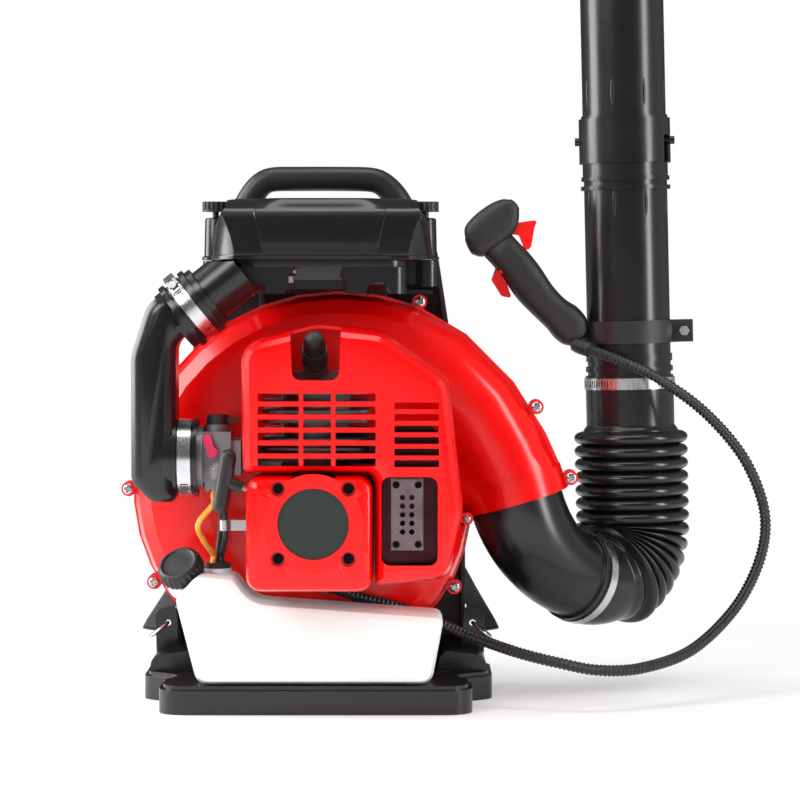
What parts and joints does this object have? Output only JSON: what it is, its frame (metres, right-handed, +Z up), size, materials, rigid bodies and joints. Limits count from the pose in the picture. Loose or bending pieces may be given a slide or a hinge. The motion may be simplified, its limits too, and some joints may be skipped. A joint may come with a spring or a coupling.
{
  "type": "backpack leaf blower",
  "caption": "Backpack leaf blower: scroll fan case, engine under a louvred cover, fuel tank, air cleaner, back frame with straps, swivelling elbow, ribbed hose, pipes and throttle grip.",
  "frame": {"origin": "on the ground under the middle of the stand, below the crank axis", "axes": "+Z up; +X towards the blowing side, where the elbow and pipes are; -Y towards the engine and fuel tank, +Y towards the wearer's back"},
  "size_m": [0.6268, 0.4113, 1.2445],
  "materials": {
    "red_plastic": "gloss",
    "black_plastic": "satin",
    "black_gloss": "gloss",
    "grey_plastic": "matte",
    "milky_plastic": "satin",
    "clear_plastic": "gloss",
    "pink_plastic": "gloss",
    "rubber": "matte",
    "amber_rubber": "gloss",
    "fabric": "matte",
    "rope": "matte",
    "steel": "brushed",
    "zinc": "polished",
    "alu": "cast",
    "muffler_steel": "heat-darkened",
    "filter": "matte"
  },
  "bodies": {
    "machine": {"stand_base": "black_gloss", "back_frame": "black_plastic", "back_pad": "fabric", "shoulder_strap_left": "fabric", "shoulder_strap_right": "fabric", "vibration_mounts": "rubber", "fan_case_rear": "red_plastic", "fan_case_front": "red_plastic", "inlet_guard": "black_plastic", "case_screws": "zinc", "crankcase": "alu", "cylinder_block": "alu", "spark_plug": "steel", "plug_boot": "rubber", "muffler": "muffler_steel", "engine_cover": "red_plastic", "starter_case": "red_plastic", "starter_disc": "black_plastic", "cover_screws": "zinc", "starter_rope": "rope", "fuel_tank": "milky_plastic", "tank_grommet": "rubber", "fuel_line": "amber_rubber", "breather_lines": "rubber", "line_clip": "steel", "carburettor": "alu", "intake_duct": "black_gloss", "upper_duct_clamp": "zinc", "lower_duct_clamp": "zinc", "air_cleaner_case": "black_gloss", "filter_element": "filter", "throttle_cable_lower": "black_plastic"},
    "fan_rotor": {"fan_rotor": "grey_plastic"},
    "starter_pulley": {"starter_pulley": "black_plastic"},
    "starter_grip": {"starter_grip": "black_plastic"},
    "fuel_cap": {"fuel_cap": "black_plastic"},
    "cleaner_cover": {"air_cleaner_cover": "black_gloss"},
    "knob_left": {"cover_knob_left": "black_plastic"},
    "knob_right": {"cover_knob_right": "black_plastic"},
    "throttle_lever": {"throttle_lever": "black_plastic"},
    "choke_lever": {"choke_lever": "pink_plastic"},
    "primer_bulb": {"primer_bulb": "clear_plastic"},
    "elbow": {"elbow": "black_gloss", "elbow_clamp": "zinc", "flexible_hose": "rubber", "throttle_cable_middle": "black_plastic"},
    "swivel_tube": {"swivel_pipe": "black_gloss", "hose_top_clamp": "zinc"},
    "straight_tube": {"straight_pipe": "black_gloss"},
    "nozzle": {"nozzle": "black_gloss"},
    "handle": {"handle_clamp": "black_plastic", "clamp_bolt": "zinc", "handle_body": "black_plastic", "handle_head": "black_plastic", "throttle_cable_upper": "black_plastic"},
    "trigger": {"throttle_trigger": "red_plastic"},
    "lock_lever": {"lock_lever": "red_plastic"},
    "stop_switch": {"stop_switch": "red_plastic"},
    "hook_left": {"strap_hook_left": "zinc"},
    "hook_right": {"strap_hook_right": "zinc"}
  },
  "joints": [
    {"name": "crank_spin", "type": "hinge", "parent": "machine", "child": "fan_rotor", "pos_m": [0, 0, 0.18], "axis": [0, 1, 0], "continuous": true},
    {"name": "starter_pull", "type": "slide", "parent": "machine", "child": "starter_grip", "axis": [-0.9404, 0, 0.3401], "range_m": [0, 0.6], "stiffness_N_per_m": 6, "springref_m": -0.05, "deforming": ["starter_rope"]},
    {"name": "pulley_turn", "type": "hinge", "parent": "machine", "child": "starter_pulley", "pos_m": [0, -0.15, 0.18], "axis": [0, -1, 0], "range_deg": [0, 1380]},
    {"name": "fuel_cap_turn", "type": "hinge", "parent": "machine", "child": "fuel_cap", "pos_m": [-0.122, -0.084, 0.127], "axis": [-0.3011, -0.6222, 0.7226], "range_deg": [0, 540]},
    {"name": "cleaner_cover_lift", "type": "slide", "parent": "machine", "child": "cleaner_cover", "axis": [0, 0, 1], "range_m": [0, 0.09]},
    {"name": "knob_left_turn", "type": "hinge", "parent": "cleaner_cover", "child": "knob_left", "pos_m": [-0.095, -0.03, 0.463], "axis": [0, 0, 1], "range_deg": [0, 1080]},
    {"name": "knob_right_turn", "type": "hinge", "parent": "cleaner_cover", "child": "knob_right", "pos_m": [0.102, -0.03, 0.463], "axis": [0, 0, 1], "range_deg": [0, 1080]},
    {"name": "throttle_lever_turn", "type": "hinge", "parent": "machine", "child": "throttle_lever", "pos_m": [-0.09, -0.088, 0.266], "axis": [0, 0, 1], "range_deg": [-1, 61]},
    {"name": "choke_turn", "type": "hinge", "parent": "machine", "child": "choke_lever", "pos_m": [-0.094, -0.112, 0.242], "axis": [0, 1, 0], "range_deg": [0, 60]},
    {"name": "primer_press", "type": "slide", "parent": "machine", "child": "primer_bulb", "axis": [0, 1, 0], "range_m": [0, 0.003], "stiffness_N_per_m": 150, "springref_m": -0.001},
    {"name": "elbow_swivel", "type": "hinge", "parent": "machine", "child": "elbow", "pos_m": [0.18988, 0.03, 0.18663], "axis": [-0.2756, 0, 0.9613], "range_deg": [-40, 18], "deforming": ["throttle_cable_lower"]},
    {"name": "hose_bend", "type": "hinge", "parent": "elbow", "child": "swivel_tube", "pos_m": [0.27244, 0.08956, 0.1], "axis": [-0.6691, 0.7431, 0], "range_deg": [-5, 75], "deforming": ["flexible_hose", "throttle_cable_middle"]},
    {"name": "straight_pipe_twist", "type": "hinge", "parent": "swivel_tube", "child": "straight_tube", "pos_m": [0.30015, 0.1237, 0.51394], "axis": [-0.0237, 0, 0.9997], "range_deg": [0, 30]},
    {"name": "nozzle_twist", "type": "hinge", "parent": "straight_tube", "child": "nozzle", "pos_m": [0.29066, 0.1237, 0.91383], "axis": [-0.0237, 0, 0.9997], "continuous": true},
    {"name": "handle_slide", "type": "slide", "parent": "swivel_tube", "child": "handle", "axis": [-0.0237, 0, 0.9997], "range_m": [0, 0.06], "deforming": ["throttle_cable_upper"]},
    {"name": "trigger_squeeze", "type": "hinge", "parent": "handle", "child": "trigger", "pos_m": [0.185, 0.1117, 0.449], "axis": [0, 1, 0], "range_deg": [0, 12], "stiffness_Nm_per_rad": 0.12, "springref_deg": -8.59},
    {"name": "lock_press", "type": "hinge", "parent": "handle", "child": "lock_lever", "pos_m": [0.177, 0.1117, 0.407], "axis": [0, -1, 0], "range_deg": [0, 10], "stiffness_Nm_per_rad": 0.1, "springref_deg": -8.59},
    {"name": "stop_switch_slide", "type": "slide", "parent": "handle", "child": "stop_switch", "axis": [1, 0, 0], "range_m": [0, 0.004]},
    {"name": "hook_left_swing", "type": "hinge", "parent": "machine", "child": "hook_left", "pos_m": [-0.149, 0.08, 0.064], "axis": [0, 1, 0], "range_deg": [-12, 12]},
    {"name": "hook_right_swing", "type": "hinge", "parent": "machine", "child": "hook_right", "pos_m": [0.149, 0.08, 0.064], "axis": [0, 1, 0], "range_deg": [-12, 12]}
  ],
  "couplings": [
    {"joint": "pulley_turn", "follows": "starter_pull", "rad_per_m": 40},
    {"joint": "throttle_lever_turn", "follows": "trigger_squeeze", "ratio": 5}
  ]
}
